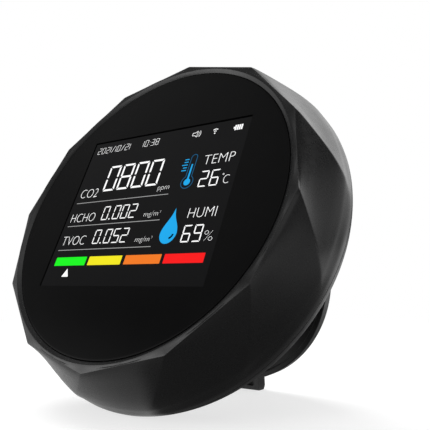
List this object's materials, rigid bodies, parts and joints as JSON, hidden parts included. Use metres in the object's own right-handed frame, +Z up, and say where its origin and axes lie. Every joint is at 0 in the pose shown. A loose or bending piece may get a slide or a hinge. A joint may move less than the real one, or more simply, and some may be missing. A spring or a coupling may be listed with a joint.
{
  "type": "desktop carbon dioxide monitor",
  "caption": "Round faceted desktop air monitor with a colour screen behind a flat glass, leaning back on a swing-out stand plate.",
  "frame": {"origin": "on the desk, under the middle of the object's bounding box, with the stand open", "axes": "+Z up, -Y the side the screen faces, +X to the right as the screen is read"},
  "size_m": [0.0938, 0.0626, 0.0884],
  "materials": {
    "shell": "satin moulded black",
    "glass": "polished black-printed cover lens",
    "adhesive": "matt black tape",
    "display": "dark liquid crystal cell",
    "steel": "plated",
    "bracket": "moulded dark grey",
    "ribbon": "amber flexible circuit",
    "connector": "ivory moulding",
    "foam": "grey foam",
    "battery": "silver pouch film",
    "board": "green solder mask",
    "sensor": "gilt moulding",
    "chip": "black moulding",
    "button": "matt black"
  },
  "bodies": {
    "case": {"alarm_buzzer": "chip", "alarm_switch": "chip", "battery_cell": "battery", "battery_connector": "connector", "battery_pad": "foam", "board_screw_1": "steel", "board_screw_2": "steel", "board_screw_3": "steel", "bracket_screw_1": "steel", "bracket_screw_2": "steel", "bracket_screw_3": "steel", "bracket_screw_4": "steel", "button_board": "board", "co2_sensor": "sensor", "cover_glass": "glass", "cover_screw_1": "steel", "cover_screw_2": "steel", "cover_screw_3": "steel", "cover_screw_4": "steel", "display_backlight": "steel", "display_bracket": "bracket", "display_panel": "display", "display_ribbon": "ribbon", "formaldehyde_sensor": "steel", "front_housing": "shell", "glass_adhesive": "adhesive", "main_board": "board", "menu_switch": "chip", "power_switch": "chip", "processor_chip": "chip", "rear_cover": "shell", "ribbon_connector": "connector", "stand_pin": "steel", "temp_humidity_sensor": "connector", "tvoc_sensor": "steel", "usb_port": "steel", "wireless_module": "steel"},
    "stand": {"stand_plate": "shell"},
    "power_key": {"power_button": "button"},
    "menu_key": {"menu_button": "button"},
    "alarm_key": {"alarm_button": "button"}
  },
  "joints": [
    {"name": "stand_hinge", "type": "hinge", "parent": "case", "child": "stand", "pos_m": [0, 0.02549, 0.06303], "axis": [1, 0, 0], "range_deg": [-30, 0]},
    {"name": "power_press", "type": "slide", "parent": "case", "child": "power_key", "axis": [0, -0.8965, 0.4431], "range_m": [0, 0.0004], "stiffness_N_per_m": 500, "springref_m": -0.0006},
    {"name": "menu_press", "type": "slide", "parent": "case", "child": "menu_key", "axis": [0, -0.8965, 0.4431], "range_m": [0, 0.0004], "stiffness_N_per_m": 500, "springref_m": -0.0006},
    {"name": "alarm_press", "type": "slide", "parent": "case", "child": "alarm_key", "axis": [0, -0.8965, 0.4431], "range_m": [0, 0.0004], "stiffness_N_per_m": 500, "springref_m": -0.0006}
  ]
}
